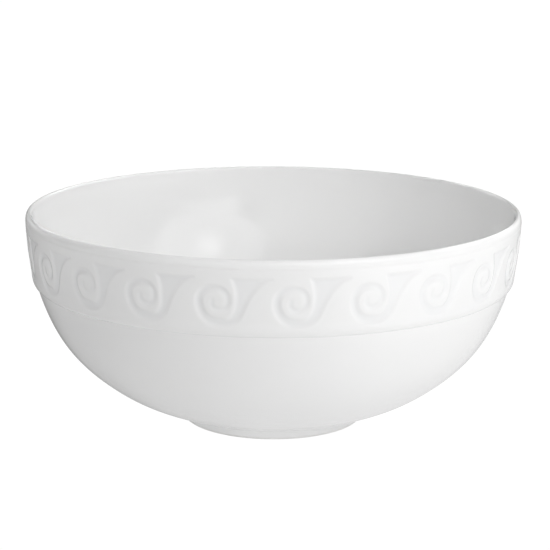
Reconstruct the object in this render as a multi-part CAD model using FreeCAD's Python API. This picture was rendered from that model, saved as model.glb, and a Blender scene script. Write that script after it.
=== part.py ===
import FreeCAD, Part
import math
import os

# Round porcelain serving bowl with a raised band of running scrolls below the lip.
# Millimetres. +Z is up, along the bowl's axis. The origin is on the axis, on the plane that the foot rests on.
# The scroll band reads left to right when the bowl is seen from -Y.

# ---- driving dimensions ----
HEIGHT = 108.5            # resting plane to the top of the lip
GLAZE = 0.3               # thickness of every glaze coat

# outside surface of the finished bowl below the band, as (radius, height), foot to band
OUTSIDE = [
    (52.0, 7.0), (58.4, 9.1), (69.0, 12.9), (79.0, 18.0), (88.5, 24.5), (97.3, 32.0),
    (105.0, 40.6), (111.3, 50.5), (116.2, 61.4), (118.0, 66.4), (119.1, 70.0), (119.6, 72.0),
]
# the wall's own clay surface where the band is seated on it
BAND_SEAT = [(120.1, 75.0), (121.05, 80.0), (121.95, 86.0), (122.65, 92.0), (123.15, 98.0), (123.5, 104.5)]
# the clay surface of the base, under the foot ring
BASE_UNDER_Z = 4.7
BASE_FLAT_R = 36.5
UNDER_FOOT = [(41.6, 5.0), (48.8, 6.2)]

# raised band, outside surface from the step up to the lip
BAND_BOTTOM_Z = 72.0
BAND_TOP_Z = 104.5
BAND_OUTSIDE = [
    (119.6, 72.0), (120.45, 72.6), (121.2, 73.5), (121.75, 74.65), (122.08, 76.1), (122.38, 79.0), (122.84, 82.3),
    (123.4, 86.5), (123.95, 91.0), (124.3, 96.0), (124.6, 100.0), (124.8, 104.5),
]
SCROLL_COUNT = 22         # scrolls round the band
SCROLL_PHASE_DEG = 4.7    # azimuth of one scroll's eye, measured from -Y towards +X
SCROLL_EYE_Z = 89.1       # height of the scrolls' eyes
SCROLL_DEPTH = 0.6        # depth of the sunk ground between the scrolls

# lip, clay surface: outer edge over the crest to the inner wall
LIP = [(124.5, 104.5), (124.42, 105.6), (124.12, 106.9), (123.55, 107.8), (122.95, HEIGHT - GLAZE), (122.35, 107.85), (121.98, 107.0), (121.84, 105.8)]
# wall thickness of the clay, as (height on the outside, thickness), used to lay out the inner wall
WALL = [(5.0, 4.7), (12.0, 4.6), (25.0, 4.3), (40.0, 4.0), (55.0, 3.8), (70.0, 3.5), (80.0, 3.3), (90.0, 2.8), (98.0, 2.15)]
INSIDE_FLOOR_Z = 9.7      # clay surface of the floor on the axis
INSIDE_FLAT_R = 16.0      # the middle of the floor is level out to here
CLAY_STEP = 0.02          # largest step of the clay's hidden surface from its smooth curve

# foot ring
FOOT_OUT_R0 = 45.9        # outside radius of the clay near the resting face
FOOT_OUT_R1 = 48.6        # outside radius where it joins the base
FOOT_IN_R0 = 39.4
FOOT_IN_R1 = 38.6
FOOT_EDGE_R = 1.1         # rounding of the resting edge
FOOT_BARE_Z = 1.4         # the glaze stops here, above the bare resting face


def v(r, z):
    return FreeCAD.Vector(r, 0, z)


def spline(points, t0=None, t1=None):
    curve = Part.BSplineCurve()
    pts = [v(r, z) for r, z in points]
    if t0 or t1:
        tan = [FreeCAD.Vector(0, 0, 0)] * len(pts)
        flags = [False] * len(pts)
        if t0:
            tan[0], flags[0] = v(*t0), True
        if t1:
            tan[-1], flags[-1] = v(*t1), True
        curve.interpolate(Points=pts, Tangents=tan, TangentFlags=flags)
    else:
        curve.interpolate(pts)
    return curve


def offset(points, distance):
    """Points moved to the right of their run by a distance, each along the local normal."""
    out = []
    for i, (r, z) in enumerate(points):
        a = points[max(i - 1, 0)]
        b = points[min(i + 1, len(points) - 1)]
        # tangent of the circle through three points, or the chord at an end
        if 0 < i < len(points) - 1:
            d0 = math.hypot(r - a[0], z - a[1])
            d1 = math.hypot(b[0] - r, b[1] - z)
            tr = (r - a[0]) / d0 * d1 + (b[0] - r) / d1 * d0
            tz = (z - a[1]) / d0 * d1 + (b[1] - z) / d1 * d0
        else:
            tr, tz = b[0] - a[0], b[1] - a[1]
        n = math.hypot(tr, tz)
        out.append((r + distance * tz / n, z - distance * tr / n))
    return out


def sampled(curve, count, first=None, last=None):
    u0 = curve.FirstParameter if first is None else first
    u1 = curve.LastParameter if last is None else last
    pts = []
    for i in range(count):
        p = curve.value(u0 + (u1 - u0) * i / (count - 1))
        pts.append((p.x, p.z))
    return pts


def chords(points, tol):
    """The fewest of the points whose chords stay within tol of all of them."""
    keep, i = [0], 0
    while i < len(points) - 1:
        j = i + 1
        while j + 1 < len(points):
            a, b = points[i], points[j + 1]
            n = math.hypot(b[0] - a[0], b[1] - a[1])
            if max(abs((p[0] - a[0]) * (b[1] - a[1]) - (p[1] - a[1]) * (b[0] - a[0])) / n for p in points[i + 1:j + 1]) > tol:
                break
            j += 1
        keep.append(j)
        i = j
    return [points[k] for k in keep]


def interp(table, x):
    if x <= table[0][0]:
        return table[0][1]
    for (x0, y0), (x1, y1) in zip(table, table[1:]):
        if x <= x1:
            return y0 + (y1 - y0) * (x - x0) / (x1 - x0)
    return table[-1][1]


def edge(curve):
    return curve.toShape()


def line(a, b):
    return Part.makeLine(v(*a), v(*b))


def path(points):
    return [line(a, b) for a, b in zip(points, points[1:])]


def face(edges):
    return Part.Face(Part.Wire(Part.__sortEdges__(edges)))


def turn(profile):
    """Turn a flat profile right round the axis into one solid."""
    solid = profile.revolve(FreeCAD.Vector(0, 0, 0), FreeCAD.Vector(0, 0, 1), 360)
    if solid.ShapeType != "Solid":
        solid = solid.Solids[0]
    return solid


def one_face(shape):
    faces = sorted(shape.Faces, key=lambda f: -f.Area)
    return faces[0]


# ---- clay wall and base, one piece turned round the axis ----
clay_low = offset(OUTSIDE, -GLAZE)
clay_out_pts = [(BASE_FLAT_R, BASE_UNDER_Z)] + UNDER_FOOT + clay_low + BAND_SEAT
clay_out = spline(clay_out_pts, t0=(1, 0))

inner_pts = []
run = sampled(clay_out, 400)
inner_all = []
shifted = offset(run, 1.0)
for (r, z), (r1, z1) in zip(run, shifted):
    t = interp(WALL, z)
    inner_all.append((r - (r1 - r) * t, z - (z1 - z) * t))
# take a light set of points from the laid-out inner wall, bottom to top
targets = [60.0, 70.0, 79.0, 87.0, 94.0, 100.0, 105.0, 109.2, 112.6, 115.3, 117.5, 119.2, 120.5]
for target in targets:
    k = min(range(len(inner_all)), key=lambda j: abs(inner_all[j][0] - target))
    inner_pts.append(inner_all[k])
inner_pts = [(INSIDE_FLAT_R, INSIDE_FLOOR_Z), (40.0, INSIDE_FLOOR_Z + 0.95)] + inner_pts
inner_pts.append((121.3, 101.6))
inner_pts.append(LIP[-1])
inner_curve = spline(inner_pts, t0=(1, 0), t1=(0.08, 1.0))
lip_curve = spline(LIP, t0=(0.0, 1.0), t1=(-0.08, -1.0))

# under the glaze the clay is turned in fine steps, each within CLAY_STEP of the smooth curve
clay_out_run = chords(sampled(clay_out, 1600), CLAY_STEP)
clay_in_run = chords(sampled(inner_curve, 1600), CLAY_STEP)
clay_lip_run = chords(sampled(lip_curve, 400), CLAY_STEP)
clay_out_run[0], clay_out_run[-1] = clay_out_pts[0], clay_out_pts[-1]
clay_in_run[0], clay_in_run[-1] = inner_pts[0], LIP[-1]
clay_lip_run[0], clay_lip_run[-1] = LIP[0], LIP[-1]
clay_face = face([
    line((0, BASE_UNDER_Z), (BASE_FLAT_R, BASE_UNDER_Z)),
    line(clay_out_pts[-1], LIP[0]),
    line((INSIDE_FLAT_R, INSIDE_FLOOR_Z), (0, INSIDE_FLOOR_Z)),
    line((0, INSIDE_FLOOR_Z), (0, BASE_UNDER_Z)),
] + path(clay_out_run) + path(clay_lip_run) + path(clay_in_run))

# ---- foot ring, seated under the base ----
e = FOOT_EDGE_R
slope = (FOOT_OUT_R1 - FOOT_OUT_R0) / (5.6 - e)
foot_edges = [
    line((FOOT_IN_R0 + e, 0), (FOOT_OUT_R0 - e, 0)),
    Part.Arc(v(FOOT_OUT_R0 - e, 0), v(FOOT_OUT_R0 - e * (1 - math.sqrt(0.5)), e * (1 - math.sqrt(0.5))), v(FOOT_OUT_R0, e)).toShape(),
    line((FOOT_OUT_R0, e), (FOOT_OUT_R0 + slope * (7.4 - e), 7.4)),
    line((FOOT_OUT_R0 + slope * (7.4 - e), 7.4), (FOOT_IN_R1 - 0.2, 7.4)),
    line((FOOT_IN_R1 - 0.2, 7.4), (FOOT_IN_R0, e)),
    Part.Arc(v(FOOT_IN_R0, e), v(FOOT_IN_R0 + e * (1 - math.sqrt(0.5)), e * (1 - math.sqrt(0.5))), v(FOOT_IN_R0 + e, 0)).toShape(),
]
foot_face = one_face(face(foot_edges).cut(clay_face))

# ---- glaze coats ----
# inside, over the lip and down to the top of the band
inner_run = sampled(inner_curve, 60)
lip_run = sampled(lip_curve, 21)                          # outer edge to inner edge
liner_inner = offset(inner_run, -GLAZE)
liner_inner[0] = (INSIDE_FLAT_R, INSIDE_FLOOR_Z + GLAZE)
liner_lip = offset(lip_run, GLAZE)
liner_lip[0] = (LIP[0][0] + GLAZE, LIP[0][1])
liner_lip[-1] = liner_inner[-1]
liner_face = face([
    line(LIP[0], liner_lip[0]),
    edge(spline(liner_lip)),
    edge(spline(liner_inner, t0=(1, 0))),
    line((INSIDE_FLAT_R, INSIDE_FLOOR_Z + GLAZE), (0, INSIDE_FLOOR_Z + GLAZE)),
    line((0, INSIDE_FLOOR_Z + GLAZE), (0, INSIDE_FLOOR_Z)),
    line((0, INSIDE_FLOOR_Z), (INSIDE_FLAT_R, INSIDE_FLOOR_Z)),
] + path(clay_in_run) + path(clay_lip_run))

# outside, from the step down the body and the foot's outer wall to its bare edge
foot_out = [(FOOT_OUT_R0 + slope * (z - e) + GLAZE, z) for z in (FOOT_BARE_Z, 5.3)]
outer_top = OUTSIDE[-1]
outer_edges = [
    line((FOOT_OUT_R0 - 1.0, FOOT_BARE_Z), foot_out[0]),
    line(foot_out[0], foot_out[1]),
    edge(spline([foot_out[1]] + OUTSIDE)),
    line(outer_top, (clay_low[-1][0] - 1.5, BAND_BOTTOM_Z)),
    line((clay_low[-1][0] - 1.5, BAND_BOTTOM_Z), (100.0, 38.0)),
    line((100.0, 38.0), (80.0, 20.5)),
    line((80.0, 20.5), (60.0, 12.0)),
    line((60.0, 12.0), (FOOT_OUT_R0 - 1.0, 6.8)),
    line((FOOT_OUT_R0 - 1.0, 6.8), (FOOT_OUT_R0 - 1.0, FOOT_BARE_Z)),
]
outer_face = one_face(face(outer_edges).cut(clay_face).cut(foot_face))

# inside the foot ring, over the underside of the base
foot_in = [(FOOT_IN_R0 - GLAZE, FOOT_BARE_Z), (FOOT_IN_R1 - GLAZE, BASE_UNDER_Z - GLAZE)]
base_edges = [
    line((0, BASE_UNDER_Z - GLAZE), foot_in[1]),
    line(foot_in[1], foot_in[0]),
    line(foot_in[0], (FOOT_IN_R0 + 1.0, FOOT_BARE_Z)),
    line((FOOT_IN_R0 + 1.0, FOOT_BARE_Z), (FOOT_IN_R0 + 1.0, 6.6)),
    line((FOOT_IN_R0 + 1.0, 6.6), (0, 6.6)),
    line((0, 6.6), (0, BASE_UNDER_Z - GLAZE)),
]
base_face = one_face(face(base_edges).cut(clay_face).cut(foot_face))

# ---- raised band with its running scrolls ----
band_edges = [
    edge(spline(BAND_OUTSIDE)),
    line(BAND_OUTSIDE[-1], (122.0, BAND_TOP_Z)),
    line((122.0, BAND_TOP_Z), (117.6, BAND_BOTTOM_Z)),
    line((117.6, BAND_BOTTOM_Z), BAND_OUTSIDE[0]),
]
band_face = one_face(face(band_edges).cut(clay_face))
band_plain = turn(band_face)

# one scroll's sunk ground, laid out flat: x runs round the band, z up, both from the scroll's eye.
# The ground is a wide corner field at upper right that narrows to a channel, runs under the scroll,
# up its left side, over inside the curl, and winds in to the eye.
CHANNEL = [  # centre line and half width
    (5.0, -9.6, 1.7), (1.2, -9.9, 1.75), (-3.1, -9.2, 1.75), (-6.3, -7.0, 1.7), (-8.2, -3.3, 1.6),
    (-8.6, 0.4, 1.5), (-7.5, 3.5, 1.4), (-5.0, 5.5, 1.35), (-1.8, 6.1, 1.3), (1.5, 5.5, 1.3), (3.9, 3.5, 1.3),
    (4.7, 0.8, 1.2), (3.9, -1.9, 1.1), (1.7, -3.4, 1.0), (-0.9, -3.3, 0.9), (-2.5, -1.7, 0.8), (-2.4, 0.4, 0.6),
]
FIELD_RIGHT = [(24.6, 10.7), (21.5, 9.3), (18.3, 6.9), (15.7, 3.7), (13.5, -0.3), (11.6, -4.7), (9.6, -8.3)]
FIELD_LEFT = [(6.6, -6.3), (8.05, -3.0), (8.5, 1.0), (8.3, 5.0), (7.5, 8.2)]


def scroll_outline():
    right, left = [], []
    for i, (x, z, w) in enumerate(CHANNEL):
        a = CHANNEL[max(i - 1, 0)]
        b = CHANNEL[min(i + 1, len(CHANNEL) - 1)]
        tx, tz = b[0] - a[0], b[1] - a[1]
        n = math.hypot(tx, tz)
        # the run goes clockwise, so its left is the outside of the turn
        left.append((x + w * tz / n, z - w * tx / n))
        right.append((x - w * tz / n, z + w * tx / n))
    return left, right


def flat_spline(points, y):
    curve = Part.BSplineCurve()
    curve.interpolate([FreeCAD.Vector(x, y, SCROLL_EYE_Z + z) for x, z in points])
    return curve.toShape()


side_a, side_b = scroll_outline()
# side_a must be the outer side of the channel: the one further from the eye at its lowest point
if math.hypot(*side_a[2]) < math.hypot(*side_b[2]):
    side_a, side_b = side_b, side_a
y0 = -(BAND_OUTSIDE[0][0] - 6.0)
end_x, end_z = CHANNEL[-1][0], CHANNEL[-1][1]
tip = (end_x + 0.25, end_z + 0.75)
outer_side = FIELD_RIGHT + side_a[1:]
inner_side = [side_b[0]] + FIELD_LEFT
ground_edges = [
    flat_spline(outer_side, y0),
    Part.Arc(FreeCAD.Vector(side_a[-1][0], y0, SCROLL_EYE_Z + side_a[-1][1]),
             FreeCAD.Vector(tip[0], y0, SCROLL_EYE_Z + tip[1]),
             FreeCAD.Vector(side_b[-1][0], y0, SCROLL_EYE_Z + side_b[-1][1])).toShape(),
    flat_spline(list(reversed(side_b[1:])) + inner_side[1:], y0),
    Part.makeLine(FreeCAD.Vector(FIELD_LEFT[-1][0], y0, SCROLL_EYE_Z + FIELD_LEFT[-1][1]),
                  FreeCAD.Vector(6.9, y0, SCROLL_EYE_Z + FIELD_RIGHT[0][1])),
    Part.makeLine(FreeCAD.Vector(6.9, y0, SCROLL_EYE_Z + FIELD_RIGHT[0][1]),
                  FreeCAD.Vector(FIELD_RIGHT[0][0], y0, SCROLL_EYE_Z + FIELD_RIGHT[0][1])),
]
ground_face = Part.Face(Part.Wire(Part.__sortEdges__(ground_edges)))
prism = ground_face.extrude(FreeCAD.Vector(0, -14.0, 0))

# the layer of the band that the ground is cut from
floor_pts = offset(BAND_OUTSIDE[4:], -SCROLL_DEPTH)
high_pts = [(r + 1.5, z) for r, z in BAND_OUTSIDE[4:]]
layer = turn(face([
    edge(spline(floor_pts)),
    line(floor_pts[-1], high_pts[-1]),
    edge(spline(high_pts)),
    line(high_pts[0], floor_pts[0]),
]))
cutter = prism.common(layer)
cutters = []
for i in range(SCROLL_COUNT):
    c = cutter.copy()
    c.rotate(FreeCAD.Vector(0, 0, 0), FreeCAD.Vector(0, 0, 1), SCROLL_PHASE_DEG + 360.0 * i / SCROLL_COUNT)
    cutters.append(c)
band = band_plain.cut(cutters)
band = sorted(band.Solids, key=lambda s: -s.Volume)[0]

pieces = {
    "bowl_body": turn(clay_face),
    "frieze_band": band,
    "foot_ring": turn(foot_face),
    "liner_glaze": turn(liner_face),
    "outer_glaze": turn(outer_face),
    "base_glaze": turn(base_face),
}

os.makedirs("parts", exist_ok=True)
for name, shape in pieces.items():
    box = shape.BoundBox
    print("%-12s valid %s solids %d volume %.0f mm3 faces %d  r %.2f  z %.2f to %.2f" % (
        name, shape.isValid(), len(shape.Solids), shape.Volume, len(shape.Faces), box.XMax, box.ZMin, box.ZMax))
    shape.exportStep(os.path.join("parts", name + ".step"))
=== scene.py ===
import math

import bmesh
import bpy
import numpy as np
from mathutils import Matrix, Vector


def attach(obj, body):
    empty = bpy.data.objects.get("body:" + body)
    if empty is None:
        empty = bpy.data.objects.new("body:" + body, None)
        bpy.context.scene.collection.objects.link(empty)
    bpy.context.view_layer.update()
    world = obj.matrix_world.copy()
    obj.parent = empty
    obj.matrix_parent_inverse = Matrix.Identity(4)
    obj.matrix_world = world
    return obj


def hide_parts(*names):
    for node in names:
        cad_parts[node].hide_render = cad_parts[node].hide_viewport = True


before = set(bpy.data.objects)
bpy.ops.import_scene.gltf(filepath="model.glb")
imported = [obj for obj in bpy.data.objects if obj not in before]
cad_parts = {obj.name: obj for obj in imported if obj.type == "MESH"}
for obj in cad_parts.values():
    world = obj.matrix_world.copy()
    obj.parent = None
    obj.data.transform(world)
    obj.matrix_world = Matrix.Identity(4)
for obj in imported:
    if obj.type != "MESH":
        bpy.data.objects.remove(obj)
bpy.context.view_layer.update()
MM = 0.001

# ---------------------------------------------------------------- driving sizes, mm, as in the solids
HEIGHT = 108.5
GLAZE = 0.3
OUTSIDE = [
    (52.0, 7.0), (58.4, 9.1), (69.0, 12.9), (79.0, 18.0), (88.5, 24.5), (97.3, 32.0),
    (105.0, 40.6), (111.3, 50.5), (116.2, 61.4), (118.0, 66.4), (119.1, 70.0), (119.6, 72.0),
]
BAND_SEAT = [(120.1, 75.0), (121.05, 80.0), (121.95, 86.0), (122.65, 92.0), (123.15, 98.0), (123.5, 104.5)]
BASE_UNDER_Z = 4.7
BASE_FLAT_R = 36.5
UNDER_FOOT = [(41.6, 5.0), (48.8, 6.2)]
BAND_BOTTOM_Z = 72.0
BAND_TOP_Z = 104.5
BAND_OUTSIDE = [
    (119.6, 72.0), (120.45, 72.6), (121.2, 73.5), (121.75, 74.65), (122.08, 76.1), (122.38, 79.0), (122.84, 82.3),
    (123.4, 86.5), (123.95, 91.0), (124.3, 96.0), (124.6, 100.0), (124.8, 104.5),
]
SCROLLS = 22
PHASE_DEG = 4.7
EYE_Z = 89.1
DEPTH = 0.62
LIP = [(124.5, 104.5), (124.42, 105.6), (124.12, 106.9), (123.55, 107.8), (122.95, HEIGHT - GLAZE), (122.35, 107.85), (121.98, 107.0), (121.84, 105.8)]
WALL = [(5.0, 4.7), (12.0, 4.6), (25.0, 4.3), (40.0, 4.0), (55.0, 3.8), (70.0, 3.5), (80.0, 3.3), (90.0, 2.8), (98.0, 2.15)]
FLOOR_Z = 9.7
FOOT_OUT_R0, FOOT_OUT_R1, FOOT_IN_R0, FOOT_IN_R1 = 45.9, 48.6, 39.4, 38.6
FOOT_EDGE_R = 1.1
FOOT_BARE_Z = 1.4


# ---------------------------------------------------------------- curves
def smooth(points, per=12, start=None, end=None):
    """A cubic spline through points, sampled per times in each span. start and end are optional end directions."""
    p = np.array(points, float)
    s = np.concatenate([[0], np.cumsum(np.hypot(*np.diff(p, axis=0).T))])
    n, h = len(p), np.diff(s)
    a = np.zeros((n, n))
    b = np.zeros((n, 2))
    for i in range(1, n - 1):
        a[i, i - 1], a[i, i], a[i, i + 1] = h[i - 1], 2 * (h[i - 1] + h[i]), h[i]
        b[i] = 6 * ((p[i + 1] - p[i]) / h[i] - (p[i] - p[i - 1]) / h[i - 1])
    a[0, 0] = a[-1, -1] = 1
    if start is not None:
        t = np.array(start, float) / np.hypot(*start)
        a[0, 0], a[0, 1] = 2 * h[0], h[0]
        b[0] = 6 * ((p[1] - p[0]) / h[0] - t)
    if end is not None:
        t = np.array(end, float) / np.hypot(*end)
        a[-1, -1], a[-1, -2] = 2 * h[-1], h[-1]
        b[-1] = 6 * (t - (p[-1] - p[-2]) / h[-1])
    m = np.linalg.solve(a, b)
    out = []
    for i in range(n - 1):
        for k in range(per):
            x = h[i] * k / per
            y = h[i] - x
            out.append((m[i] * y**3 + m[i + 1] * x**3) / (6 * h[i]) + (p[i] / h[i] - m[i] * h[i] / 6) * y + (p[i + 1] / h[i] - m[i + 1] * h[i] / 6) * x)
    out.append(p[-1])
    return np.array(out)


def along(poly, count=None, at=None):
    """Points evenly spaced along a polyline, or at given shares of its length."""
    s = np.concatenate([[0], np.cumsum(np.hypot(*np.diff(poly, axis=0).T))])
    t = np.linspace(0, s[-1], count) if at is None else np.array(at) * s[-1]
    return np.column_stack([np.interp(t, s, poly[:, 0]), np.interp(t, s, poly[:, 1])])


def shift(poly, distance):
    """The polyline moved to the right of its run."""
    d = np.gradient(poly, axis=0)
    d /= np.hypot(*d.T)[:, None]
    return poly + distance * np.column_stack([d[:, 1], -d[:, 0]])


# ---------------------------------------------------------------- meshes
def mesh_object(name, verts, faces, corner_deg=32):
    me = bpy.data.meshes.new(name)
    me.from_pydata([tuple(v) for v in verts], [], [tuple(f) for f in faces])
    me.validate()
    bm = bmesh.new()
    bm.from_mesh(me)
    bmesh.ops.recalc_face_normals(bm, faces=bm.faces)
    bm.to_mesh(me)
    bm.free()
    me.polygons.foreach_set("use_smooth", [True] * len(me.polygons))
    me.set_sharp_from_angle(angle=math.radians(corner_deg))
    ob = bpy.data.objects.new(name, me)
    bpy.context.scene.collection.objects.link(ob)
    return ob


def lathe(name, loop, segments, corner_deg=32):
    """Turn a closed profile round +Z. Where the profile starts and ends on the axis its two ends are single points."""
    loop = [tuple(p) for p in loop]
    clean = [loop[0]]
    for p in loop[1:]:
        if math.hypot(p[0] - clean[-1][0], p[1] - clean[-1][1]) > 1e-4:
            clean.append(p)
    if math.hypot(clean[0][0] - clean[-1][0], clean[0][1] - clean[-1][1]) < 1e-4:
        clean.pop()
    verts, rings = [], []
    for r, z in clean:
        if r < 1e-6:
            rings.append([len(verts)])
            verts.append((0, 0, z * MM))
        else:
            rings.append(list(range(len(verts), len(verts) + segments)))
            for i in range(segments):
                a = 2 * math.pi * i / segments
                verts.append((r * math.sin(a) * MM, -r * math.cos(a) * MM, z * MM))
    faces = []
    pairs = list(zip(rings, rings[1:] + rings[:1]))
    for a, b in pairs:
        if len(a) == 1 and len(b) == 1:
            continue
        for i in range(segments):
            j = (i + 1) % segments
            if len(a) == 1:
                faces.append((a[0], b[j], b[i]))
            elif len(b) == 1:
                faces.append((a[i], a[j], b[0]))
            else:
                faces.append((a[i], a[j], b[j], b[i]))
    return mesh_object(name, verts, faces, corner_deg)


# ---------------------------------------------------------------- profiles
outside = smooth(OUTSIDE, 16)
clay_low = [tuple(p) for p in shift(np.array(OUTSIDE, float), -GLAZE)]
clay_out = smooth([(BASE_FLAT_R, BASE_UNDER_Z)] + UNDER_FOOT + clay_low + BAND_SEAT, 16, start=(1, 0))
inner_all = []
normals = shift(clay_out, 1.0) - clay_out
for p, n in zip(clay_out, normals):
    inner_all.append(p - n * np.interp(p[1], [w[0] for w in WALL], [w[1] for w in WALL]))
inner_all = np.array(inner_all)
picks = [inner_all[np.argmin(np.abs(inner_all[:, 0] - r))] for r in (60.0, 70.0, 79.0, 87.0, 94.0, 100.0, 105.0, 109.2, 112.6, 115.3, 117.5, 119.2, 120.5)]
inner_pts = [(16.0, FLOOR_Z), (40.0, FLOOR_Z + 0.95)] + [tuple(p) for p in picks] + [(121.3, 101.6), LIP[-1]]
clay_in = smooth(inner_pts, 14, start=(1, 0), end=(0.08, 1.0))
clay_lip = smooth(LIP, 6, start=(0, 1), end=(-0.08, -1.0))
coat_in = shift(clay_in, -GLAZE)
coat_in[0] = (0, FLOOR_Z + GLAZE)
coat_lip = shift(clay_lip, GLAZE)
coat_lip[0] = (LIP[0][0] + GLAZE, BAND_TOP_Z)
coat_lip[-1] = coat_in[-1]

# the clay wall: hidden under the glaze, but whole
wall_loop = [(0, BASE_UNDER_Z)] + list(clay_out[::3]) + [clay_out[-1]] + list(clay_lip) + list(clay_in[::-3]) + [(0, FLOOR_Z)]
bowl_wall = lathe("bowl_wall_clay", wall_loop, 192)

# glaze inside, over the lip and down its outer edge
liner_loop = [(0, FLOOR_Z)] + list(clay_in[::4]) + [clay_in[-1]] + list(clay_lip[::-2]) + [coat_lip[0]] + list(coat_lip[1:]) + list(coat_in[:0:-2])
liner_loop += [(r, FLOOR_Z + GLAZE) for r in (12.0, 8.0, 4.0, 1.5, 0)]
liner = lathe("liner_glaze_coat", liner_loop, 384)

# glaze outside, from the step to just above the foot's resting edge, with a small fillet where the body meets the foot
slope = (FOOT_OUT_R1 - FOOT_OUT_R0) / (5.6 - FOOT_EDGE_R)
foot_line = [(FOOT_OUT_R0 + slope * (z - FOOT_EDGE_R) + GLAZE, z) for z in (FOOT_BARE_Z + 0.12, 2.2, 3.2, 4.2)]
bead = [(FOOT_OUT_R0 + 0.12, FOOT_BARE_Z - 0.12), (FOOT_OUT_R0 + 0.34, FOOT_BARE_Z - 0.08)]
fillet = [(48.45, 4.85), (49.1, 5.4), (50.3, 6.05)]
outer_skin = np.vstack([np.array(bead), smooth(foot_line + fillet + OUTSIDE, 10)])
clay_run = clay_out[clay_out[:, 0] > 48.7]
clay_run = clay_run[clay_run[:, 1] < BAND_BOTTOM_Z - 0.4]
outer_loop = list(outer_skin) + [(119.3, BAND_BOTTOM_Z)] + list(clay_run[::-5]) + [(48.35, 5.3), (FOOT_OUT_R0 + slope * (FOOT_BARE_Z - FOOT_EDGE_R) + 0.02, FOOT_BARE_Z)]
outer_coat = lathe("outer_glaze_coat", outer_loop, 384)

# glaze under the base, inside the foot ring
under_skin = [(0, BASE_UNDER_Z - GLAZE), (18.0, BASE_UNDER_Z - GLAZE), (30.0, BASE_UNDER_Z - GLAZE)] + list(
    smooth([(36.4, BASE_UNDER_Z - GLAZE), (37.5, 4.22), (38.1, 3.75), (38.45, 3.0), (38.85, 2.2), (39.1, FOOT_BARE_Z + 0.1)], 5, start=(1, 0)))
under_loop = under_skin + [(39.25, FOOT_BARE_Z), (39.38, FOOT_BARE_Z - 0.1), (38.9, 3.6), (38.6, 4.9), (36.5, BASE_UNDER_Z), (18.0, BASE_UNDER_Z), (0, BASE_UNDER_Z)]
under_coat = lathe("base_glaze_coat", under_loop, 192)

# the foot ring, bare where it rests
e = FOOT_EDGE_R
corner = [(math.sin(math.radians(t)), 1 - math.cos(math.radians(t))) for t in range(0, 91, 15)]
foot_loop = [(FOOT_OUT_R0 - e + e * x, e * y) for x, y in corner]
foot_loop += [(FOOT_OUT_R0 + slope * (z - e), z) for z in (2.2, 3.4, 4.6)] + [(48.45, 5.8), (45.0, 5.4), (41.0, 4.93), (FOOT_IN_R1, 4.8)]
foot_loop += [(38.9, 3.4), (39.2, 2.1)] + [(FOOT_IN_R0 + e - e * x, e * y) for x, y in corner[::-1]]
foot_loop += [(FOOT_IN_R0 + e + 1.0, 0), (FOOT_OUT_R0 - e - 1.0, 0)]
foot = lathe("foot_ring_clay", foot_loop, 288, corner_deg=40)

# ---------------------------------------------------------------- the scroll band
# One scroll's sunk ground, laid out flat in mm from the scroll's eye: x round the band, z up.
CHANNEL = [
    (5.0, -9.6, 1.7), (1.2, -9.9, 1.75), (-3.1, -9.2, 1.75), (-6.3, -7.0, 1.7), (-8.2, -3.3, 1.6),
    (-8.6, 0.4, 1.5), (-7.5, 3.5, 1.4), (-5.0, 5.5, 1.35), (-1.8, 6.1, 1.3), (1.5, 5.5, 1.3), (3.9, 3.5, 1.3),
    (4.7, 0.8, 1.2), (3.9, -1.9, 1.1), (1.7, -3.4, 1.0), (-0.9, -3.3, 0.9), (-2.5, -1.7, 0.8), (-2.4, 0.4, 0.6),
]
FIELD_RIGHT = [(24.6, 10.7), (21.5, 9.3), (18.3, 6.9), (15.7, 3.7), (13.5, -0.3), (11.6, -4.7), (9.6, -8.3)]
FIELD_LEFT = [(6.6, -6.3), (8.05, -3.0), (8.5, 1.0), (8.3, 5.0), (7.5, 8.2)]


def ground_outline():
    c = np.array(CHANNEL)
    d = np.empty((len(c), 2))
    for i in range(len(c)):
        d[i] = c[min(i + 1, len(c) - 1), :2] - c[max(i - 1, 0), :2]
    d /= np.hypot(*d.T)[:, None]
    right = np.column_stack([d[:, 1], -d[:, 0]]) * c[:, 2:3]
    inner, outer = c[:, :2] + right, c[:, :2] - right
    if np.hypot(*inner[2]) > np.hypot(*outer[2]):
        inner, outer = outer, inner
    run_out = smooth(FIELD_RIGHT + [tuple(p) for p in outer[1:]], 10)
    tip = c[-1, :2] + d[-1] * c[-1, 2]
    run_in = smooth([tuple(p) for p in inner[1:][::-1]] + [tuple(inner[0])] + FIELD_LEFT, 10)
    return np.vstack([run_out, [tip], run_in, [(6.9, FIELD_RIGHT[0][1])]])


def depth_field(x, z, outline, period):
    """How far inside the sunk ground each point lies, in mm, negative outside, for a pattern that repeats along x."""
    a = outline
    b = np.roll(outline, -1, axis=0)
    best = np.full(x.shape, -1e9)
    for k in (-1, 0, 1):
        px, pz = (x - k * period).ravel(), z.ravel()
        ab = b - a
        ap_x, ap_z = px[:, None] - a[None, :, 0], pz[:, None] - a[None, :, 1]
        t = np.clip((ap_x * ab[:, 0] + ap_z * ab[:, 1]) / np.maximum((ab**2).sum(1), 1e-12), 0, 1)
        d = np.sqrt(((ap_x - t * ab[:, 0]) ** 2 + (ap_z - t * ab[:, 1]) ** 2).min(1))
        crosses = ((a[None, :, 1] > pz[:, None]) != (b[None, :, 1] > pz[:, None])) & (
            px[:, None] < (b[None, :, 0] - a[None, :, 0]) * (pz[:, None] - a[None, :, 1]) / np.where(np.abs(ab[:, 1]) < 1e-12, 1e-12, ab[:, 1]) + a[None, :, 0])
        inside = crosses.sum(1) % 2 == 1
        best = np.maximum(best, np.where(inside, d, -d).reshape(x.shape))
    return best


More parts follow.
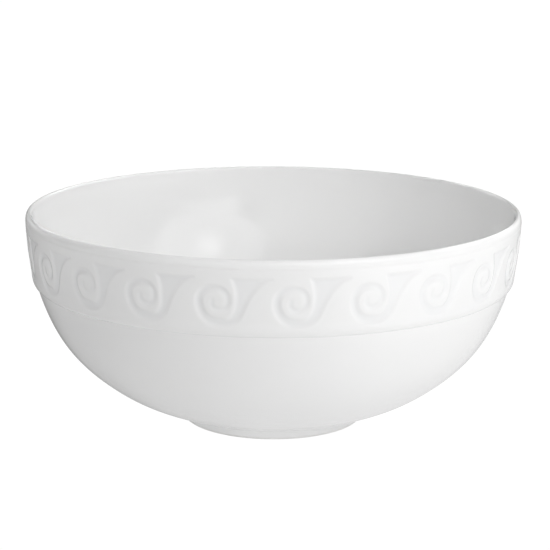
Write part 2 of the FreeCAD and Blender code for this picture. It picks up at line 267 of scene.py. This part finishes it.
def make_band():
    per_scroll = 62
    columns = per_scroll * SCROLLS
    face = smooth(BAND_OUTSIDE, 16)
    s = np.concatenate([[0], np.cumsum(np.hypot(*np.diff(face, axis=0).T))])
    z_rows = np.concatenate([[72.0, 72.08, 72.22, 72.42, 72.68, 73.0, 73.4, 73.9, 74.5, 75.1, 75.75], np.linspace(76.4, 101.6, 49), np.linspace(101.6, 104.2, 5)[1:], [104.38, 104.5]])
    rows = np.column_stack([np.interp(z_rows, face[:, 1], face[:, 0]), z_rows])
    out = shift(rows, 1.0) - rows
    pitch = 2 * math.pi / SCROLLS
    ref = 124.0
    u = (np.arange(per_scroll) / per_scroll - 0.5) * pitch * ref
    gx, gz = np.meshgrid(u, z_rows - EYE_Z)
    inside = depth_field(gx, gz, ground_outline(), pitch * ref)
    w = 2.4
    t = np.clip((inside + w * 0.5) / w, 0, 1)
    turn = np.clip((np.hypot(gx, gz - 1.0) - 3.0) / 3.5, 0, 1)  # the inner turn is shallower
    sunk = DEPTH * t * t * (3 - 2 * t) * (0.55 + 0.45 * turn * turn * (3 - 2 * turn))
    # the face rolls over gently at the top line and into the step
    top = np.clip((z_rows - 103.7) / 0.8, 0, 1)
    drop = 0.22 * top * top
    verts, pool_and_shade = [], []
    n_rows = len(z_rows)
    for j in range(n_rows):
        for i in range(columns):
            k = i % per_scroll
            a = math.radians(PHASE_DEG) + ((i // per_scroll) + i % per_scroll / per_scroll - 0.5) * pitch
            d = sunk[j, k] + drop[j]
            r, z = rows[j] - out[j] * d
            verts.append((r * math.sin(a) * MM, -r * math.cos(a) * MM, z * MM))
            # each point keeps how deep its ground is sunk; the glaze uses this for a darker, bluer tint that is partly
            # thicker pooled glaze and partly painted shade in the recesses
            pool_and_shade.append(sunk[j, k] / DEPTH)
    back = [(123.5, 104.5), (123.15, 98.0), (121.95, 86.0), (120.1, 75.0), (119.3, 72.0)]
    for r, z in back:
        for i in range(columns):
            a = math.radians(PHASE_DEG) + ((i // per_scroll) + i % per_scroll / per_scroll - 0.5) * pitch
            verts.append((r * math.sin(a) * MM, -r * math.cos(a) * MM, z * MM))
            pool_and_shade.append(0.0)
    total = n_rows + len(back)
    faces = []
    for j in range(total):
        j2 = (j + 1) % total
        for i in range(columns):
            i2 = (i + 1) % columns
            faces.append((j * columns + i, j * columns + i2, j2 * columns + i2, j2 * columns + i))
    ob = mesh_object("scroll_band_glazed", verts, faces, corner_deg=50)
    attr = ob.data.attributes.new("pool_and_shade", "FLOAT", "POINT")
    attr.data.foreach_set("value", np.array(pool_and_shade, np.float32))
    return ob


band = make_band()


# ---------------------------------------------------------------- finishes
def material(name):
    m = bpy.data.materials.new(name)
    m.use_nodes = True
    nt = m.node_tree
    nt.nodes.clear()
    out = nt.nodes.new("ShaderNodeOutputMaterial")
    bsdf = nt.nodes.new("ShaderNodeBsdfPrincipled")
    nt.links.new(bsdf.outputs["BSDF"], out.inputs["Surface"])
    coord = nt.nodes.new("ShaderNodeTexCoord")
    return m, nt, bsdf, coord


def noise(nt, coord, scale, detail=2.0, rough=0.5, seed=0.0):
    n = nt.nodes.new("ShaderNodeTexNoise")
    n.noise_dimensions = "4D"
    n.inputs["W"].default_value = seed
    n.inputs["Scale"].default_value = scale
    n.inputs["Detail"].default_value = detail
    n.inputs["Roughness"].default_value = rough
    nt.links.new(coord.outputs["Object"], n.inputs["Vector"])
    return n.outputs["Fac"]


def remap(nt, value, lo, hi, a=0.3, b=0.7):
    n = nt.nodes.new("ShaderNodeMapRange")
    n.inputs["From Min"].default_value, n.inputs["From Max"].default_value = a, b
    n.inputs["To Min"].default_value, n.inputs["To Max"].default_value = lo, hi
    nt.links.new(value, n.inputs["Value"])
    return n.outputs["Result"]


def mix(nt, fac, a, b):
    n = nt.nodes.new("ShaderNodeMix")
    n.data_type = "RGBA"
    for socket, value in ((n.inputs[6], a), (n.inputs[7], b)):
        if isinstance(value, tuple):
            socket.default_value = (*value, 1.0)
        else:
            nt.links.new(value, socket)
    nt.links.new(fac, n.inputs[0])
    return n.outputs[2]


def bump(nt, height, strength, distance, below=None):
    n = nt.nodes.new("ShaderNodeBump")
    n.inputs["Strength"].default_value = strength
    n.inputs["Distance"].default_value = distance
    nt.links.new(height, n.inputs["Height"])
    if below is not None:
        nt.links.new(below, n.inputs["Normal"])
    return n.outputs["Normal"]


def glaze(name, seed, pooled_and_shaded=False):
    m, nt, bsdf, coord = material(name)
    broad = noise(nt, coord, 14, 3.0, 0.5, seed)
    colour = mix(nt, remap(nt, broad, 0.0, 1.0), (0.875, 0.875, 0.874), (0.893, 0.893, 0.891))
    if pooled_and_shaded:
        # the sunk ground is painted a little darker and bluer by its depth: partly the tint of thicker pooled glaze,
        # partly painted shade in the recesses
        a = nt.nodes.new("ShaderNodeAttribute")
        a.attribute_name = "pool_and_shade"
        colour = mix(nt, remap(nt, a.outputs["Fac"], 0.0, 1.0, 0.0, 1.0), colour, (0.862, 0.865, 0.868))
    nt.links.new(colour, bsdf.inputs["Base Color"])
    nt.links.new(remap(nt, noise(nt, coord, 45, 4.0, 0.6, seed + 3), 0.02, 0.04), bsdf.inputs["Roughness"])
    bsdf.inputs["IOR"].default_value = 1.5
    waves = bump(nt, noise(nt, coord, 60, 1.0, 0.4, seed + 7), 0.2, 0.00004)
    peel = bump(nt, noise(nt, coord, 420, 2.0, 0.5, seed + 11), 0.25, 0.000008, waves)
    nt.links.new(peel, bsdf.inputs["Normal"])
    return m


def clay(name, seed):
    m, nt, bsdf, coord = material(name)
    speck = noise(nt, coord, 900, 3.0, 0.6, seed)
    cloud = noise(nt, coord, 35, 3.0, 0.5, seed + 2)
    colour = mix(nt, remap(nt, cloud, 0.0, 1.0), (0.79, 0.785, 0.77), (0.84, 0.838, 0.828))
    colour = mix(nt, remap(nt, speck, 0.0, 0.35, 0.62, 0.75), colour, (0.70, 0.69, 0.67))
    # faint grey scuffing on the resting face, from tables and stacking
    pos = nt.nodes.new("ShaderNodeSeparateXYZ")
    nt.links.new(coord.outputs["Object"], pos.inputs["Vector"])
    low = remap(nt, pos.outputs["Z"], 1.0, 0.0, 0.0, 0.0007)
    scuff = remap(nt, noise(nt, coord, 160, 4.0, 0.65, seed + 5), 0.0, 1.0, 0.52, 0.66)
    both = nt.nodes.new("ShaderNodeMath")
    both.operation = "MULTIPLY"
    nt.links.new(low, both.inputs[0])
    nt.links.new(scuff, both.inputs[1])
    colour = mix(nt, remap(nt, both.outputs[0], 0.0, 0.5, 0.0, 1.0), colour, (0.56, 0.555, 0.54))
    nt.links.new(colour, bsdf.inputs["Base Color"])
    nt.links.new(remap(nt, speck, 0.52, 0.68), bsdf.inputs["Roughness"])
    bsdf.inputs["IOR"].default_value = 1.5
    grain = bump(nt, noise(nt, coord, 2200, 2.0, 0.6, seed + 9), 0.5, 0.00004)
    nt.links.new(grain, bsdf.inputs["Normal"])
    return m


finishes = {
    band: glaze("glaze_on_scrolls", 1.0, pooled_and_shaded=True),
    liner: glaze("glaze_inside", 21.0),
    outer_coat: glaze("glaze_outside", 41.0),
    under_coat: glaze("glaze_under_base", 61.0),
    foot: clay("bare_foot_clay", 5.0),
    bowl_wall: clay("fired_clay", 15.0),
}
for ob, m in finishes.items():
    ob.data.materials.append(m)

for ob, node, slot in (
    (bowl_wall, "bowl_body", "porcelain_body"),
    (band, "frieze_band", "frieze_porcelain"),
    (foot, "foot_ring", "foot_porcelain"),
    (liner, "liner_glaze", "clear_glaze"),
    (outer_coat, "outer_glaze", "clear_glaze"),
    (under_coat, "base_glaze", "clear_glaze"),
):
    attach(ob, "root")
    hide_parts(node)


# ---------------------------------------------------------------- stage, light, camera
def glow_material(name, strength, base=(1.0, 1.0, 1.0)):
    """Plain light given off by a stage surface, scaled by its own "glow" attribute."""
    m = bpy.data.materials.new(name)
    m.use_nodes = True
    nt = m.node_tree
    nt.nodes.clear()
    out = nt.nodes.new("ShaderNodeOutputMaterial")
    em = nt.nodes.new("ShaderNodeEmission")
    em.inputs["Color"].default_value = (*base, 1.0)
    at = nt.nodes.new("ShaderNodeAttribute")
    at.attribute_name = "glow"
    gain = nt.nodes.new("ShaderNodeMath")
    gain.operation = "MULTIPLY"
    gain.inputs[1].default_value = strength
    nt.links.new(at.outputs["Fac"], gain.inputs[0])
    nt.links.new(gain.outputs[0], em.inputs["Strength"])
    nt.links.new(em.outputs[0], out.inputs["Surface"])
    return m


def stage_grid(name, points, rows, columns, glow, closed=False):
    faces = []
    for j in range(rows - 1):
        for i in range(columns if closed else columns - 1):
            i2 = (i + 1) % columns
            faces.append((j * columns + i, j * columns + i2, (j + 1) * columns + i2, (j + 1) * columns + i))
    me = bpy.data.meshes.new(name)
    me.from_pydata(points, [], faces)
    me.attributes.new("glow", "FLOAT", "POINT").data.foreach_set("value", np.array(glow, np.float32))
    ob = bpy.data.objects.new(name, me)
    bpy.context.scene.collection.objects.link(ob)
    return ob


PANEL_N = 41


def panel_glow(size, strength, edge, cut, core, core_r):
    """Brightness over a light panel: even inside, fading over its edge, with cut corners and a brighter middle."""
    glow = []
    for j in range(PANEL_N):
        for i in range(PANEL_N):
            u, w = 2 * i / (PANEL_N - 1) - 1, 2 * j / (PANEL_N - 1) - 1
            x, y = abs(u) * size[0] / 2, abs(w) * size[1] / 2
            room = [size[0] / 2 - x, size[1] / 2 - y]
            if cut:
                room.append((size[0] / 2 + size[1] / 2 - cut - x - y) / math.sqrt(2))
            d = min(max(min(room) / edge, 0), 1)
            glow.append(strength * d * d * (3 - 2 * d) + core * math.exp(-((x * x + y * y) / core_r**2)))
    return glow


def softbox(name, azimuth, elevation, distance, size, strength, edge=0.1, cut=0.0, core=0.0, core_r=0.2):
    """A cloth-fronted light box at an azimuth from -Y towards +X, facing the bowl."""
    pts = []
    for j in range(PANEL_N):
        for i in range(PANEL_N):
            u, w = 2 * i / (PANEL_N - 1) - 1, 2 * j / (PANEL_N - 1) - 1
            pts.append((u * size[0] / 2, w * size[1] / 2, 0))
    ob = stage_grid(name, pts, PANEL_N, PANEL_N, panel_glow(size, strength, edge, cut, core, core_r))
    ob.data.materials.append(glow_material(name + "_light", 1.0))
    target = Vector((0, 0, 0.07))
    a, el = math.radians(azimuth), math.radians(elevation)
    ob.location = target + distance * Vector((math.sin(a) * math.cos(el), -math.cos(a) * math.cos(el), math.sin(el)))
    ob.rotation_mode = "QUATERNION"
    ob.rotation_quaternion = (target - ob.location).to_track_quat("-Z", "Y")
    ob.visible_camera = False
    return ob


BOXES = (  # name, azimuth, elevation, distance, width and height, strength, edge, corner cut, core strength, core radius
    ("studio_key", 39, 29, 1.8, (2.16, 1.26), 1.63, 0.03, 0.42, 2.7, 0.22),
    ("studio_low_right", 54, 2.4, 2.1, (4.3, 0.52), 0.816, 0.2),
    ("studio_front", -22, 12, 2.2, (1.9, 0.9), 4.66, 0.45),
    ("studio_right", 100, 30, 2.1, (1.3, 1.3), 2.547, 0.4),
    ("studio_back_right", 142, 32, 2.0, (1.5, 1.5), 3.294, 0.5),
    ("studio_left", -80, 40, 2.0, (1.5, 1.3), 0.02, 0.4),
    ("studio_left_low", -95, 8, 2.2, (1.5, 0.6), 0.416, 0.25),
    ("studio_back_left", -150, 32, 2.0, (1.5, 1.3), 1.98, 0.4),
    ("studio_top", 0, 76, 1.8, (1.4, 1.2), 4.8, 0.4),
)
for box in BOXES:
    panel = softbox(*box)
    panel.visible_glossy = box[0] not in ("studio_front", "studio_top")  # fills, with no mirror image in the glaze

world = bpy.data.worlds.new("studio")
bpy.context.scene.world = world
world.use_nodes = True
wn = world.node_tree
wn.nodes.clear()
w_out = wn.nodes.new("ShaderNodeOutputWorld")
w_bg = wn.nodes.new("ShaderNodeBackground")
w_bg.inputs["Color"].default_value = (1, 1, 1, 1)
w_bg.inputs["Strength"].default_value = 0.01
wn.links.new(w_bg.outputs[0], w_out.inputs[0])

# The table top that lights the bowl from below, by azimuth in eighths of a turn: dimmer close in and behind.
FLOOR_NEAR = {0: 0.793, 45: 0.819, 90: 0.791, 135: 0.594, 180: 0.135, -135: 0.184, -90: 0.444, -45: 0.655}
FLOOR_FAR = {0: 0.574, 45: 1.817, 90: 1.116, 135: 0.672, 180: 0.15, -135: 0.467, -90: 1.162, -45: 0.576}


def eighth(a, zone):
    """How much of the light at azimuth a belongs to a zone 45 degrees wide; the shares of all zones add up to 1."""
    d = abs((math.degrees(a) - zone + 180) % 360 - 180)
    return math.cos(2 * math.radians(d)) ** 2 if d < 45 else 0.0


def floor_share(r, a, zone, near):
    g = math.exp(-((r / 0.32) ** 3))
    return eighth(a, zone) * (g if near else 1 - g)


table_pts, table_at = [], []
for j in range(30):
    r = 0.004 * (6.0 / 0.004) ** (j / 29)
    for i in range(72):
        a = 2 * math.pi * i / 72
        table_pts.append((r * math.sin(a), -r * math.cos(a), -0.0006))
        table_at.append((r, a))
table_glow = [sum(FLOOR_NEAR[z] * floor_share(r, a, z, True) + FLOOR_FAR[z] * floor_share(r, a, z, False) for z in FLOOR_NEAR) for r, a in table_at]
table_glow = [g * (1 - 0.1 * math.exp(-((r / 0.062) ** 4))) for g, (r, a) in zip(table_glow, table_at)]  # in the bowl's own shade
table = stage_grid("studio_table_glow", table_pts, 30, 72, table_glow, closed=True)
table.data.materials.append(glow_material("table_light", 1.0))
table.visible_camera = False

# The room round the table as the glaze mirrors it, by azimuth near the horizon and one value overhead.
ROOM_LOW = {0: 0.62, 45: 0.40, 90: 0.283, 135: 1.30, 180: 0.20, -135: 1.0, -90: 0.445, -45: 0.642}
ROOM_HIGH = 0.42


def room_share(a, el_deg, zone):
    """Share of a low zone, or of the overhead part when zone is None."""
    t = min(max((el_deg - 18) / 27, 0), 1)
    high = t * t * (3 - 2 * t)
    return high if zone is None else (1 - high) * eighth(a, zone)


room_pts, room_at = [], []
for j in range(41):
    el = -4 + 94 * j / 40
    for i in range(72):
        a = 2 * math.pi * i / 72
        c = 5.0 * math.cos(math.radians(min(el, 89.9)))
        room_pts.append((c * math.sin(a), -c * math.cos(a), 0.07 + 5.0 * math.sin(math.radians(el))))
        room_at.append((a, el))
room_glow = [ROOM_HIGH * room_share(a, el, None) + sum(ROOM_LOW[z] * room_share(a, el, z) for z in ROOM_LOW) for a, el in room_at]
room = stage_grid("studio_room", room_pts, 41, 72, room_glow, closed=True)
room.data.materials.append(glow_material("room_light", 1.0))
room.visible_camera = room.visible_diffuse = room.visible_transmission = room.visible_shadow = False

# What the camera sees behind and below: a plain white floor that curves up far away.
sweep_pts, sweep_glow = [], []
profile = [(0.0005, 0.0), (0.5, 0.0), (2.0, 0.0), (4.5, 0.0), (5.2, 0.25), (5.7, 0.9), (6.0, 2.0), (5.2, 4.2), (3.0, 5.6), (0.01, 6.0)]
for r, z in profile:
    for i in range(72):
        a = 2 * math.pi * i / 72
        sweep_pts.append((r * math.sin(a), -r * math.cos(a), z - 0.0008))
        sweep_glow.append(1.0)
sweep = stage_grid("studio_sweep", sweep_pts, len(profile), 72, sweep_glow, closed=True)
sweep.data.materials.append(glow_material("sweep_white", 1.02))
sweep.visible_diffuse = sweep.visible_glossy = sweep.visible_transmission = sweep.visible_shadow = False

CAM_DISTANCE, CAM_ELEVATION, CAM_ROLL = 0.950, 14.133, 0.261
LENS_PX = 1851.0
AIM_RIGHT_PX, AIM_UP_PX = -1.82, 34.73
cam_data = bpy.data.cameras.new("camera")
cam_data.sensor_width = 36.0
cam_data.lens = LENS_PX / 550.0 * 36.0
cam = bpy.data.objects.new("camera", cam_data)
el = math.radians(CAM_ELEVATION)
cam.location = (0.0, -CAM_DISTANCE * math.cos(el), 0.055 + CAM_DISTANCE * math.sin(el))
pitch = el - math.atan(AIM_UP_PX / LENS_PX)
turned = Matrix.Rotation(math.atan(AIM_RIGHT_PX / LENS_PX), 3, "Z") @ Matrix.Rotation(math.pi / 2 - pitch, 3, "X") @ Matrix.Rotation(math.radians(CAM_ROLL), 3, "Z")
cam.rotation_euler = turned.to_euler()
cam_data.clip_start, cam_data.clip_end = 0.01, 50.0
bpy.context.scene.collection.objects.link(cam)
bpy.context.scene.camera = cam
bpy.context.scene.view_settings.view_transform = "Standard"
bpy.context.scene.view_settings.look = "None"
